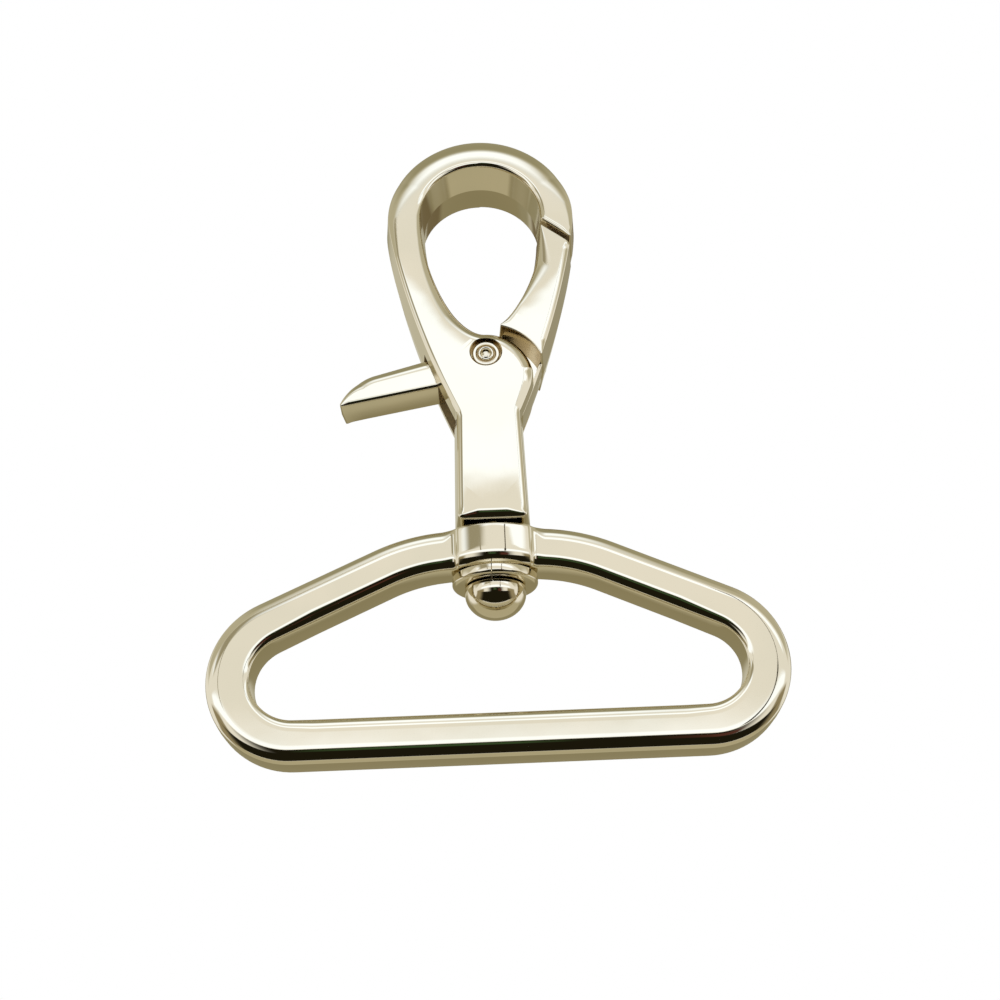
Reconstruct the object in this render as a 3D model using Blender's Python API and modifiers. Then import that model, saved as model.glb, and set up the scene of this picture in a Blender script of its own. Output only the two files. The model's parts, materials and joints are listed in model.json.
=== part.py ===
"""Swivel snap hook for a strap: a pear-shaped hook with a sprung trigger gate, which turns on a domed
post in the collar of a strap loop. Metres, with Z up along the swivel's axis and the origin at the
middle of the strap bar's upper face. X runs along the bar, and Y away from the viewer."""

import math

import bmesh
import bpy
from mathutils import Matrix, Vector

# Strap loop: a flat band bent to a low triangle, with the swivel's collar at the top
STRAP_WIDTH = 0.0380
LOOP_RISE = 0.01325
LOOP_BAND = 0.00335
LOOP_DEPTH = 0.0037
LOOP_EDGE = 0.0007
LOOP_END_RADIUS = 0.0033
ARM_BEND_RADIUS = 0.0140
COLLAR_RADIUS = 0.00295
COLLAR_HEIGHT = 0.0035
COLLAR_TOP_EDGE = 0.00016
COLLAR_LOW_EDGE = 0.00048

# Swivel: a domed post, with a loose washer under the collar; the wall is left above the post
POST_RADIUS = 0.0015
POST_WALL = 0.00205
WASHER_RADIUS = 0.0034
WASHER_THICKNESS = 0.0008
WASHER_EDGE = 0.00027
DOME_RADIUS = 0.00242
DOME_RIM = 0.0004
DOME_HEIGHT = 0.0025

# Hook body: heights are above the foot of the shank unless they say otherwise
HOOK_DEPTH = 0.0065
HOOK_EDGE = 0.00045
FOOT_WIDTH = 0.00606
WAIST_WIDTH = 0.00568
WAIST_HEIGHT = 0.0094
PIVOT_HEIGHT = 0.01495
CHEEK_WIDTH = 0.0070
CHEEK_DROP = 0.0007
EYE_FLOOR = 0.0020
EYE_LENGTH = 0.0168
EYE_WIDTH = 0.0104
RIM_SIDE = 0.00305
RIM_CROWN = 0.0035
NOSE_DROP = 0.0021
NOSE_SLOPE = math.radians(38.5)
NOSE_GAP = 0.00045
SLOT_FLOOR = 0.0056

# Gate lever: places are from the pivot, with the trigger on the -X side
LEVER_THICKNESS = 0.0033
HEEL_DROP = 0.00235
HEEL_GAP = 0.00057
HEEL_END = math.radians(10)
TRIGGER_TOP_SLOPE = math.radians(16.5)
TRIGGER_TOP_LENGTH = 0.0092
TRIGGER_REACH = 0.0123
TRIGGER_DROP = 0.00385
TRIGGER_ROOT_REACH = 0.0039
TRIGGER_ROOT_DROP = 0.0019
TAIL_INSET = 0.0001
TAIL_GAP = 0.00015
NECK_REACH = 0.0014
NECK_RISE = 0.0024
JOIN_REACH = 0.0026
JOIN_RISE = 0.0032
HUB_END = math.radians(50)

# Pivot rivet: tubular, with a head in a recess of each cheek
RIVET_RADIUS = 0.00085
RIVET_HEAD_RADIUS = 0.0012
RIVET_HEAD_THICKNESS = 0.00045
RIVET_CROWN = 0.00015
RIVET_HOLE_RADIUS = 0.00042
RIVET_HOLE_DEPTH = 0.0007
RECESS_RADIUS = 0.00136
RECESS_DEPTH = 0.0007

# Gate spring: a compression coil from a pocket in the slot's floor to the trigger's root
SPRING_WIRE = 0.00036
SPRING_RADIUS = 0.00072
SPRING_TURNS = 6
SPRING_TOP_REACH = 0.0023
SPRING_FOOT_REACH = 0.0010
POCKET_DEPTH = 0.0016
POCKET_CLEARANCE = 0.00018

# Clearances
RUNNING_CLEARANCE = 0.00005
SEAT_CLEARANCE = 0.00003
SWIVEL_PLAY = 0.0002
SLOT_CLEARANCE = 0.000075
ROOF_CLEARANCE = 0.0002

# Fineness of the round shapes
ROUND_SIDES = 48
CURVE_STEPS = 14
CURL_POINTS = 10
CUT_MARGIN = 0.002
MERGE_DISTANCE = 1e-7
SHARP_ANGLE = math.radians(30)

# Looks
GOLD = (0.78, 0.70, 0.53)
STEEL = (0.62, 0.60, 0.55)
POLISHED = 0.08
TURNED = 0.11
DRAWN = 0.25

# Heights that follow from the sizes
COLLAR_TOP = LOOP_RISE + COLLAR_HEIGHT / 2
COLLAR_BOTTOM = LOOP_RISE - COLLAR_HEIGHT / 2
WASHER_TOP = COLLAR_BOTTOM - SWIVEL_PLAY
WASHER_BOTTOM = WASHER_TOP - WASHER_THICKNESS
DOME_TOP = WASHER_BOTTOM - SWIVEL_PLAY / 2
FOOT = COLLAR_TOP + SWIVEL_PLAY
WAIST = FOOT + WAIST_HEIGHT
PIVOT = FOOT + PIVOT_HEIGHT
EYE_BOTTOM = PIVOT + EYE_FLOOR
EYE_TOP = EYE_BOTTOM + EYE_LENGTH
EYE_CENTRE = EYE_TOP - EYE_WIDTH / 2
CROWN = EYE_TOP + RIM_CROWN
SLOT_BOTTOM = PIVOT - SLOT_FLOOR
POST_BORE_TOP = SLOT_BOTTOM - POCKET_DEPTH - POST_WALL
SLOT_WIDTH = LEVER_THICKNESS + 2 * SLOT_CLEARANCE
HUB_RADIUS = EYE_FLOOR - SEAT_CLEARANCE
OUTSIDE = EYE_WIDTH / 2 + RIM_SIDE + TRIGGER_REACH

# Curve handles as shares of the span that they bend
ROUND = 0.5523
EYE_SIDE_PULL = 0.52
EYE_FLOOR_PULL = 0.42
FLANK_TOP_PULL = 0.02
FLANK_FOOT_PULL = 0.60
FLANK_FOOT_REACH = 0.907
CHEEK_TOP_PULL = 0.80
CHEEK_SIDE_PULL = 0.70
CHEEK_WAIST_PULL = 0.40


def bezier(start, start_pull, end_pull, end, steps=CURVE_STEPS):
    """Points of one curve from start up to, but without, end; the pulls are offsets of its handles."""
    a, d = Vector(start), Vector(end)
    b, c = a + Vector(start_pull), d + Vector(end_pull)
    points = []
    for step in range(steps):
        t = step / steps
        s = 1 - t
        points.append(a * s**3 + b * (3 * s * s * t) + c * (3 * s * t * t) + d * t**3)
    return points


def arc(centre, radius, first, last, steps=CURVE_STEPS):
    """Points of an arc, both ends included; the angles are in radians from +X towards +Z."""
    points = []
    for step in range(steps + 1):
        angle = first + (last - first) * step / steps
        points.append(Vector(centre) + radius * Vector((math.cos(angle), math.sin(angle))))
    return points


def mirrored(points):
    """The same points on the other side of the swivel's axis, in reverse order."""
    return [Vector((-p.x, p.y)) for p in reversed(points)]


def clear_scene():
    """Removes every object of the scene that the script starts in."""
    for old in list(bpy.data.objects):
        bpy.data.objects.remove(old, do_unlink=True)


def new_collection(name):
    """A collection linked to the scene."""
    made = bpy.data.collections.new(name)
    bpy.context.scene.collection.children.link(made)
    return made


def metal(name, colour, roughness):
    """A bare or plated metal."""
    made = bpy.data.materials.new(name)
    made.use_nodes = True
    shader = made.node_tree.nodes["Principled BSDF"]
    shader.inputs["Base Color"].default_value = (*colour, 1.0)
    shader.inputs["Metallic"].default_value = 1.0
    shader.inputs["Roughness"].default_value = roughness
    return made


def add_object(name, data, collection):
    """An object with its data, in a collection."""
    made = bpy.data.objects.new(name, data)
    collection.objects.link(made)
    return made


def meshed(source, name, collection):
    """A closed mesh object in place of a curve or of an object with modifiers."""
    bpy.context.view_layer.update()
    graph = bpy.context.evaluated_depsgraph_get()
    mesh = bpy.data.meshes.new_from_object(source.evaluated_get(graph))
    shape = bmesh.new()
    shape.from_mesh(mesh)
    bmesh.ops.remove_doubles(shape, verts=shape.verts, dist=MERGE_DISTANCE)
    bmesh.ops.transform(shape, matrix=source.matrix_world, verts=shape.verts)
    bmesh.ops.recalc_face_normals(shape, faces=shape.faces)
    shape.to_mesh(mesh)
    shape.free()
    bpy.data.objects.remove(source, do_unlink=True)
    mesh.name = name
    return add_object(name, mesh, collection)


def plate(name, outlines, depth, collection, edge=0.0):
    """A flat shape that stands in the XZ plane, centred on Y = 0; edge rounds its front and back."""
    curve = bpy.data.curves.new(name, "CURVE")
    curve.dimensions = "2D"
    curve.fill_mode = "BOTH"
    curve.extrude = depth / 2 - edge
    curve.bevel_depth = edge
    curve.bevel_resolution = 1
    curve.offset = -edge
    for outline in outlines:
        spline = curve.splines.new("POLY")
        spline.points.add(len(outline) - 1)
        for point, place in zip(spline.points, outline):
            point.co = (place.x, place.y, 0, 1)
        spline.use_cyclic_u = True
    standing = add_object(name + "_outline", curve, collection)
    standing.rotation_euler.x = math.pi / 2
    return meshed(standing, name, collection)


def turned(name, profile, collection):
    """A turned solid about Z; the profile of (radius, height) points runs down its outer side."""
    mesh = bpy.data.meshes.new(name)
    points = [(radius, 0, height) for radius, height in profile]
    mesh.from_pydata(points, [(i, i + 1) for i in range(len(points) - 1)], [])
    solid = add_object(name + "_profile", mesh, collection)
    screw = solid.modifiers.new("turn", "SCREW")
    screw.axis = "Z"
    screw.steps = ROUND_SIDES
    screw.render_steps = ROUND_SIDES
    screw.use_merge_vertices = True
    screw.merge_threshold = MERGE_DISTANCE
    return meshed(solid, name, collection)


def rod(name, start, end, radius, collection):
    """A cylinder between two points, as a cutter."""
    start, end = Vector(start), Vector(end)
    shape = bmesh.new()
    bmesh.ops.create_cone(shape, cap_ends=True, segments=ROUND_SIDES, radius1=radius, radius2=radius,
                          depth=(end - start).length)
    turn = (end - start).to_track_quat("Z", "Y").to_matrix().to_4x4()
    bmesh.ops.transform(shape, matrix=Matrix.Translation((start + end) / 2) @ turn, verts=shape.verts)
    mesh = bpy.data.meshes.new(name)
    shape.to_mesh(mesh)
    shape.free()
    return add_object(name, mesh, collection)


def combine(solid, other, operation):
    """A live Boolean on a solid; the other shape stays as a hidden guide."""
    other.hide_render = True
    other.display_type = "WIRE"
    step = solid.modifiers.new(other.name, "BOOLEAN")
    step.operation = operation
    step.solver = "EXACT"
    step.object = other


def finish(solid, material, axis_point):
    """Gives a node its material and smooth shading, and puts its origin on its axis."""
    solid.data.materials.clear()
    solid.data.materials.append(material)
    solid.data.shade_smooth()
    solid.data.set_sharp_from_angle(angle=SHARP_ANGLE)
    solid.data.transform(Matrix.Translation(-Vector(axis_point)))
    solid.location = axis_point


def eye_side():
    """The eye's edge on +X, from its top down to its floor."""
    top, side, floor = (0, EYE_TOP), (EYE_WIDTH / 2, EYE_CENTRE), (0, EYE_BOTTOM)
    round_pull = ROUND * EYE_WIDTH / 2
    side_pull = EYE_SIDE_PULL * (EYE_CENTRE - EYE_BOTTOM)
    floor_pull = EYE_FLOOR_PULL * EYE_WIDTH / 2
    upper = bezier(top, (round_pull, 0), (0, round_pull), side)
    return upper + bezier(side, (0, -side_pull), (floor_pull, 0), floor) + [Vector(floor)]


def flank_side():
    """The hook's outer edge on +X, from the crown down to the waist."""
    width = EYE_WIDTH / 2 + RIM_SIDE
    height = CROWN - EYE_CENTRE
    side, waist = (width, EYE_CENTRE), (WAIST_WIDTH / 2, WAIST)
    spread, fall = width - WAIST_WIDTH / 2, EYE_CENTRE - WAIST
    waist_pull = (FLANK_FOOT_REACH * spread, FLANK_FOOT_PULL * fall)
    upper = bezier((0, CROWN), (ROUND * width, 0), (0, ROUND * height), side)
    lower = bezier(side, (0, -FLANK_TOP_PULL * fall), waist_pull, waist, 2 * CURVE_STEPS)
    return upper + lower + [Vector(waist)]


def cheek_side():
    """The cheeks' edge beside the gate, from the eye's floor down to the waist."""
    side_z = PIVOT - CHEEK_DROP
    side, waist = (CHEEK_WIDTH / 2, side_z), (WAIST_WIDTH / 2, WAIST)
    top_pull = (CHEEK_TOP_PULL * CHEEK_WIDTH / 2, 0)
    side_pull = (0, CHEEK_SIDE_PULL * (EYE_BOTTOM - side_z))
    waist_pull = CHEEK_WAIST_PULL * (side_z - WAIST)
    upper = bezier((0, EYE_BOTTOM), top_pull, side_pull, side)
    return upper + bezier(side, (0, -waist_pull), (0, waist_pull), waist) + [Vector(waist)]


def nose_line(offset):
    """Two far points on the slanted line between nose and gate, moved square to it by offset."""
    middle = Vector((EYE_WIDTH / 2 + RIM_SIDE / 2, EYE_CENTRE - NOSE_DROP))
    along = Vector((math.cos(NOSE_SLOPE), -math.sin(NOSE_SLOPE)))
    middle = middle + offset * Vector((-along.y, along.x))
    inner = (EYE_WIDTH / 4 - middle.x) / along.x
    outer = (OUTSIDE - middle.x) / along.x
    return [middle + along * inner, middle + along * outer]


def pear(name, collection):
    """The whole hook outline with its eye, before the gate is parted from it."""
    right = flank_side() + [Vector((FOOT_WIDTH / 2, FOOT))]
    outer = right + mirrored(right)[:-1]
    eye = eye_side()
    hole = eye + mirrored(eye)[1:-1]
    return plate(name, [outer, list(reversed(hole))], HOOK_DEPTH, collection, HOOK_EDGE)


def trigger_top():
    """The lever's straight top edge: where it leaves the hub, and where it starts to curve down."""
    leave = HUB_RADIUS * Vector((-math.sin(TRIGGER_TOP_SLOPE), math.cos(TRIGGER_TOP_SLOPE)))
    along = Vector((-math.cos(TRIGGER_TOP_SLOPE), -math.sin(TRIGGER_TOP_SLOPE)))
    return leave, along


def spring_ends():
    """The spring's foot in its pocket, and its top under the trigger's root."""
    foot = Vector((-SPRING_FOOT_REACH, 0, SLOT_BOTTOM - POCKET_DEPTH))
    top = Vector((-SPRING_TOP_REACH, 0, PIVOT - TRIGGER_ROOT_DROP))
    return foot, top


def make_hook_body(parts, guides, material):
    """The hook: eye, nose, two cheeks with the lever's slot between them, and the shank."""
    body = pear("hook_body", parts)

    upper, lower = nose_line(NOSE_GAP / 2)
    cheek = cheek_side()
    below = [Vector((OUTSIDE, WAIST))]
    window = [upper, lower] + below + list(reversed(cheek))
    combine(body, plate("gate_window", [window], HOOK_DEPTH + CUT_MARGIN, guides), "DIFFERENCE")

    leave, along = trigger_top()
    pivot = Vector((0, PIVOT))
    lift = leave.normalized() * ROOF_CLEARANCE
    roof = pivot + leave + lift
    far = roof + along * (OUTSIDE / math.cos(TRIGGER_TOP_SLOPE))
    opposite = Vector((OUTSIDE, roof.y))
    floor = [Vector((OUTSIDE, SLOT_BOTTOM)), Vector((far.x, SLOT_BOTTOM))]
    slot = [roof, opposite] + floor + [far]
    combine(body, plate("lever_slot", [slot], SLOT_WIDTH, guides), "DIFFERENCE")

    half = HOOK_DEPTH / 2
    bore = RIVET_RADIUS + SEAT_CLEARANCE
    combine(body, rod("rivet_bore", (0, -HOOK_DEPTH, PIVOT), (0, HOOK_DEPTH, PIVOT), bore, guides),
            "DIFFERENCE")
    for side, label in ((-1, "front"), (1, "back")):
        recess = rod("rivet_recess_" + label, (0, side * (half - RECESS_DEPTH), PIVOT),
                     (0, side * (half + CUT_MARGIN), PIVOT), RECESS_RADIUS, guides)
        combine(body, recess, "DIFFERENCE")

    post = rod("post_bore", (0, 0, FOOT - CUT_MARGIN), (0, 0, POST_BORE_TOP),
               POST_RADIUS + SEAT_CLEARANCE, guides)
    combine(body, post, "DIFFERENCE")
    foot, top = spring_ends()
    mouth = foot + (top - foot).normalized() * (POCKET_DEPTH + CUT_MARGIN)
    pocket = rod("spring_pocket", foot, mouth, SPRING_RADIUS + SPRING_WIRE / 2 + POCKET_CLEARANCE, guides)
    combine(body, pocket, "DIFFERENCE")
    finish(body, material, (0, 0, PIVOT))
    return body


def lever_outline():
    """The thin part of the lever, seen from the front: hub, trigger, spring seat and tail."""
    leave, along = trigger_top()
    shoulder = leave + along * TRIGGER_TOP_LENGTH
    tip = Vector((-TRIGGER_REACH, -TRIGGER_DROP))
    root = Vector((-TRIGGER_ROOT_REACH, -TRIGGER_ROOT_DROP))
    curl = (shoulder - tip).length / 3
    nose = bezier(shoulder, along * curl, Vector((curl / 3, curl)), tip, CURVE_STEPS // 2)
    seat = Vector((-HUB_RADIUS / 2, root.y))
    tail_foot = TAIL_GAP - SLOT_FLOOR
    flank = [p - Vector((TAIL_INSET, PIVOT)) for p in flank_side()]
    heel = [p for p in flank if tail_foot < p.y < EYE_FLOOR / 2]
    heel.reverse()
    tail = [Vector((heel[0].x / 2, tail_foot)), Vector((heel[0].x, tail_foot))]
    inner = [Vector((JOIN_REACH, JOIN_RISE)), Vector((NECK_REACH, NECK_RISE))]
    hub = arc((0, 0), HUB_RADIUS, HUB_END, math.pi / 2 + TRIGGER_TOP_SLOPE, CURVE_STEPS // 2)
    outline = hub[:-1] + [leave] + nose + [tip, root, seat] + tail + heel + inner
    return [p + Vector((0, PIVOT)) for p in outline]


def make_gate_lever(parts, guides, material):
    """The gate, its hub and its trigger, in one casting that turns on the rivet."""
    gate = pear("gate_lever", parts)
    upper, lower = nose_line(-NOSE_GAP / 2)
    centre = Vector((0, PIVOT - HEEL_DROP))
    radius = HEEL_DROP + EYE_FLOOR + HEEL_GAP
    heel = arc(centre, radius, HEEL_END, math.pi / 2)
    right = Vector((OUTSIDE, heel[0].y))
    region = [upper, lower, right] + heel
    combine(gate, plate("gate_region", [region], HOOK_DEPTH + CUT_MARGIN, guides), "INTERSECT")
    combine(gate, plate("lever_tongue", [lever_outline()], LEVER_THICKNESS, guides), "UNION")
    bore = RIVET_RADIUS + RUNNING_CLEARANCE
    combine(gate, rod("lever_bore", (0, -HOOK_DEPTH, PIVOT), (0, HOOK_DEPTH, PIVOT), bore, guides),
            "DIFFERENCE")
    finish(gate, material, (0, 0, PIVOT))
    return gate


def make_pivot_rivet(parts, material):
    """The tubular rivet that the lever turns on, with both ends set in the cheeks' recesses."""
    web = HOOK_DEPTH / 2 - RECESS_DEPTH + SEAT_CLEARANCE
    end = web + RIVET_HEAD_THICKNESS
    rim = (RIVET_HEAD_RADIUS + RIVET_HOLE_RADIUS) / 2
    hole = end - RIVET_HOLE_DEPTH
    crown = end - RIVET_CROWN
    top = [(0, hole), (RIVET_HOLE_RADIUS, hole), (RIVET_HOLE_RADIUS, crown), (rim, end),
           (RIVET_HEAD_RADIUS, crown), (RIVET_HEAD_RADIUS, web), (RIVET_RADIUS, web)]
    profile = top + [(radius, -height) for radius, height in reversed(top)]
    rivet = turned("pivot_rivet", profile, parts)
    rivet.data.transform(Matrix.Rotation(math.pi / 2, 4, "X"))
    rivet.data.transform(Matrix.Translation((0, 0, PIVOT)))
    finish(rivet, material, (0, 0, PIVOT))
    return rivet


def make_gate_spring(parts, material):
    """The coil under the trigger, which holds the gate shut against the nose."""
    foot, top = spring_ends()
    axis = (top - foot).normalized()
    side = Vector((0, 1, 0)).cross(axis)
    front = axis.cross(side)
    seat = SPRING_WIRE / 2 + SEAT_CLEARANCE
    start = foot + axis * seat
    end = top - axis * (seat + SPRING_RADIUS * side.z) / axis.z
    count = SPRING_TURNS * CURL_POINTS
    points = []
    for step in range(count + 1):
        angle = 2 * math.pi * step / CURL_POINTS
        round_place = side * math.cos(angle) + front * math.sin(angle)
        points.append(start.lerp(end, step / count) + SPRING_RADIUS * round_place)

    apart = [(points[i] - points[j]).length for i in range(count + 1)
             for j in range(i + CURL_POINTS // 2, count + 1)]
    print("gate_spring least gap to itself: %.2f mm" % ((min(apart) - SPRING_WIRE) * 1000))

    curve = bpy.data.curves.new("gate_spring", "CURVE")
    curve.dimensions = "3D"
    curve.bevel_depth = SPRING_WIRE / 2
    curve.bevel_resolution = 1
    curve.use_fill_caps = True
    spline = curve.splines.new("POLY")
    spline.points.add(count)
    for point, place in zip(spline.points, points):
        point.co = (*place, 1)
    spring = meshed(add_object("gate_spring_wire", curve, parts), "gate_spring", parts)
    finish(spring, material, foot)
    return spring


def band_path(offset):
    """The loop's closed outline at a distance outside its inner edge, from the bar's left end on."""
    end_centre = Vector((STRAP_WIDTH / 2 - LOOP_END_RADIUS, LOOP_END_RADIUS))
    end_radius = LOOP_END_RADIUS + offset
    bend_radius = ARM_BEND_RADIUS - LOOP_BAND / 2 + offset
    bend_centre = Vector((COLLAR_RADIUS, LOOP_RISE - ARM_BEND_RADIUS))
    span = end_centre - bend_centre
    share = (bend_radius - end_radius) / span.length
    along = span.normalized()
    out = along * share + Vector((-along.y, along.x)) * math.sqrt(1 - share * share)
    lean = math.atan2(out.y, out.x)
    right = arc(end_centre, end_radius, -math.pi / 2, lean)
    right += arc(bend_centre, bend_radius, lean, math.pi / 2, CURVE_STEPS // 2)
    return right + mirrored(right)


def make_strap_loop(parts, guides, material):
    """The loop that the strap is sewn round, with the collar that turns on the post."""
    outlines = [band_path(LOOP_BAND), list(reversed(band_path(0)))]
    loop = plate("strap_loop", outlines, LOOP_DEPTH, parts, LOOP_EDGE)
    collar = [(0, COLLAR_TOP), (COLLAR_RADIUS - COLLAR_TOP_EDGE, COLLAR_TOP),
              (COLLAR_RADIUS, COLLAR_TOP - COLLAR_TOP_EDGE),
              (COLLAR_RADIUS, COLLAR_BOTTOM + COLLAR_LOW_EDGE),
              (COLLAR_RADIUS - COLLAR_LOW_EDGE, COLLAR_BOTTOM), (0, COLLAR_BOTTOM)]
    combine(loop, turned("collar", collar, guides), "UNION")
    bore = rod("swivel_bore", (0, 0, COLLAR_BOTTOM - CUT_MARGIN), (0, 0, COLLAR_TOP + CUT_MARGIN),
               POST_RADIUS + RUNNING_CLEARANCE, guides)
    combine(loop, bore, "DIFFERENCE")
    finish(loop, material, (0, 0, LOOP_RISE))
    return loop


def make_swivel_post(parts, material):
    """The post fixed in the shank, whose domed head carries the washer and the loop."""
    top = POST_BORE_TOP - SWIVEL_PLAY
    profile = [(0, top), (POST_RADIUS, top), (POST_RADIUS, DOME_TOP), (DOME_RADIUS, DOME_TOP)]
    dome = arc((0, 0), 1, 0, -math.pi / 2, CURVE_STEPS // 2)
    fall = DOME_HEIGHT - DOME_RIM
    profile += [(max(DOME_RADIUS * p.x, 0), DOME_TOP - DOME_RIM + fall * p.y) for p in dome[:-1]]
    profile.append((0, DOME_TOP - DOME_HEIGHT))
    post = turned("swivel_post", profile, parts)
    finish(post, material, (0, 0, FOOT))
    return post


def make_swivel_washer(parts, material):
    """The loose washer between the collar and the dome."""
    hole = POST_RADIUS + RUNNING_CLEARANCE
    profile = [(hole, WASHER_TOP), (WASHER_RADIUS, WASHER_TOP), (WASHER_RADIUS, WASHER_BOTTOM + WASHER_EDGE),
               (WASHER_RADIUS - WASHER_EDGE, WASHER_BOTTOM), (hole, WASHER_BOTTOM), (hole, WASHER_TOP)]
    washer = turned("swivel_washer", profile, parts)
    finish(washer, material, (0, 0, WASHER_TOP))
    return washer


def main():
    clear_scene()
    parts = new_collection("swivel_snap_hook")
    guides = new_collection("cutters")
    make_hook_body(parts, guides, metal("hook_plating", GOLD, POLISHED))
    make_gate_lever(parts, guides, metal("lever_plating", GOLD, POLISHED))
    make_strap_loop(parts, guides, metal("loop_plating", GOLD, POLISHED))
    make_swivel_post(parts, metal("post_plating", GOLD, TURNED))
    make_swivel_washer(parts, metal("washer_plating", GOLD, TURNED))
    make_pivot_rivet(parts, metal("rivet_plating", GOLD, TURNED))
    make_gate_spring(parts, metal("spring_steel", STEEL, DRAWN))


main()
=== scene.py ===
import json
import math

import bmesh
import bpy
import numpy as np
from mathutils import Matrix, Vector
from mathutils.geometry import delaunay_2d_cdt


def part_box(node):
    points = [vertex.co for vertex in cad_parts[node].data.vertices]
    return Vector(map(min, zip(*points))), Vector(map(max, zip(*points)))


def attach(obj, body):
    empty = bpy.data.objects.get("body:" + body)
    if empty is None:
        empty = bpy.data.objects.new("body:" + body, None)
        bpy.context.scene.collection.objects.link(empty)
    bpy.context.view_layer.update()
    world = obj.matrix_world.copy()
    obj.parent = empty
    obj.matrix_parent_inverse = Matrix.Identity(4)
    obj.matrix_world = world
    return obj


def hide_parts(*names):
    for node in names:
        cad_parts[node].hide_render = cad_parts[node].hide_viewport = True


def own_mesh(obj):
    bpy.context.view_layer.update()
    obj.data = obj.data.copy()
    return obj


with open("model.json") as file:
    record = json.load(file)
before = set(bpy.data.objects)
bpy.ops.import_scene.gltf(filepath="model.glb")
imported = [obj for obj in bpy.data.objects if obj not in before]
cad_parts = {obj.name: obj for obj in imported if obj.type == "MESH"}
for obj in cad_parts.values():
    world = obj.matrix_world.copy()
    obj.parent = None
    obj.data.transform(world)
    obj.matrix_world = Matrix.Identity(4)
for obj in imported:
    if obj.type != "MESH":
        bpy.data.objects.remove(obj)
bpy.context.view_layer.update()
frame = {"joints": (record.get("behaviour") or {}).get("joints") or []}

# Hook casting: eye, nose, two cheeks and shank in one zinc die casting, polished and plated light gold.
# The crown's outer edge and the cheeks' tops are buffed soft, and the flanks keep a crisp edge. A slot
# between the cheeks takes the lever, and the shank is bored from below for the swivel post.
MM = 0.001
hook_low, hook_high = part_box("hook_body")
joint_place = {joint["name"]: Vector(joint["pos_m"]) for joint in frame["joints"]}
PIVOT = joint_place["gate_pivot"].z
CROWN, FOOT = hook_high.z, hook_low.z
HOOK_HALF_DEPTH = hook_high.y
WALL_DRAFT = 0.25 * MM
EYE_DRAFT = 0.28 * MM
FLANK_HALF = hook_high.x - WALL_DRAFT
EYE_HALF = 5.2 * MM
EYE_TOP = CROWN - 3.5 * MM
EYE_MIDDLE = EYE_TOP - EYE_HALF
EYE_FLOOR = PIVOT + 2.0 * MM
WAIST = FOOT + 9.4 * MM
WAIST_HALF = 2.84 * MM - WALL_DRAFT
FOOT_HALF = 3.03 * MM - WALL_DRAFT
CHEEK_SIDE = PIVOT - 2.15 * MM
NOSE_MIDDLE = Vector((6.725 * MM, EYE_MIDDLE - 2.1 * MM))
NOSE_SLOPE = math.radians(38.5)
NOSE_GAP = 0.45 * MM
HUB_RADIUS = 1.97 * MM
TRIGGER_SLOPE = math.radians(16.5)
SLOT_HALF = 1.725 * MM
SLOT_ROOF_GAP = 0.2 * MM
SLOT_FLOOR = PIVOT - 5.6 * MM
RECESS_RADIUS = 1.28 * MM
RECESS_DEPTH = 0.7 * MM
RIVET_BORE = 0.88 * MM
POST_BORE = 1.53 * MM
POST_BORE_TOP = FOOT + 5.7 * MM
SPRING_FOOT = Vector((-1.0 * MM, 0, PIVOT - 7.2 * MM))
SPRING_TOP = Vector((-2.3 * MM, 0, PIVOT - 1.9 * MM))
SPRING_POCKET = 1.08 * MM
POCKET_DEPTH = 3 * MM
QUARTER = math.pi / 2
QUARTER_PULL = 0.5523
EYE_SIDE_PULL = 0.52
EYE_FLOOR_PULL = 0.42
FLANK_SIDE_PULL = 0.1
WAIST_PULLS = (0.738, 0.48)
EDGE_ROLL = 0.85
EDGE_STEPS = 12
CORNER_STEPS = 8
TIGHT_SHARE = 0.75
TAPER = 0.4
WELD = 1e-7
SLIVER = 1e-9
TINY_AREA = 1e-14
LEAST_TURN = 1e-6
FILL_INSIDE = 1
FILL_REACH = 1e-6


def bezier(start, start_pull, end_pull, end, count):
    """Points of one curve from start to end; the pulls are offsets of its handles."""
    a, d = np.array(start, float), np.array(end, float)
    b, c = a + np.array(start_pull, float), d + np.array(end_pull, float)
    t = np.linspace(0, 1, count)[:, None]
    s = 1 - t
    return a * s**3 + b * 3 * s * s * t + c * 3 * s * t * t + d * t**3


def straight(start, end, count):
    """Points of a straight line, both ends included."""
    return np.linspace(np.array(start, float), np.array(end, float), count)


def mirrored(points):
    """The same points on the other side of the swivel's axis, in the same order."""
    return points * np.array([-1, 1])


def clipped(points, value):
    """The first run of points where value is positive, ended where it crosses nought."""
    inside = np.flatnonzero(value > 0)
    gaps = np.flatnonzero(np.diff(inside) > 1)
    first, last = inside[0], inside[gaps[0]] if len(gaps) else inside[-1]
    run = [points[first:last + 1]]
    for here, there in ((first, first - 1), (last, last + 1)):
        if 0 <= there < len(points):
            share = value[here] / (value[here] - value[there])
            crossing = points[here:here + 1] * (1 - share) + points[there] * share
            run = [crossing] + run if there < here else run + [crossing]
    return np.vstack(run)


def leg(points, edge, roll=EDGE_ROLL, draft=0.0):
    """One stretch of an outline: its edge's width, the edge's depth as a share of that, and its draft."""
    count = len(points)
    wide = np.broadcast_to(edge, count)
    return np.column_stack([points, wide, wide * roll, np.broadcast_to(draft, count)])


def trimmed(stretch, at_start, at_end):
    """A stretch with a length cut off each end."""
    length = np.concatenate([[0], np.cumsum(np.linalg.norm(np.diff(stretch[:, :2], axis=0), axis=1))])
    first, last = at_start, length[-1] - at_end
    inside = length[(length > first + SLIVER) & (length < last - SLIVER)]
    stops = np.concatenate([[first], inside, [last]])
    return np.column_stack([np.interp(stops, length, column) for column in stretch.T])


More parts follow.
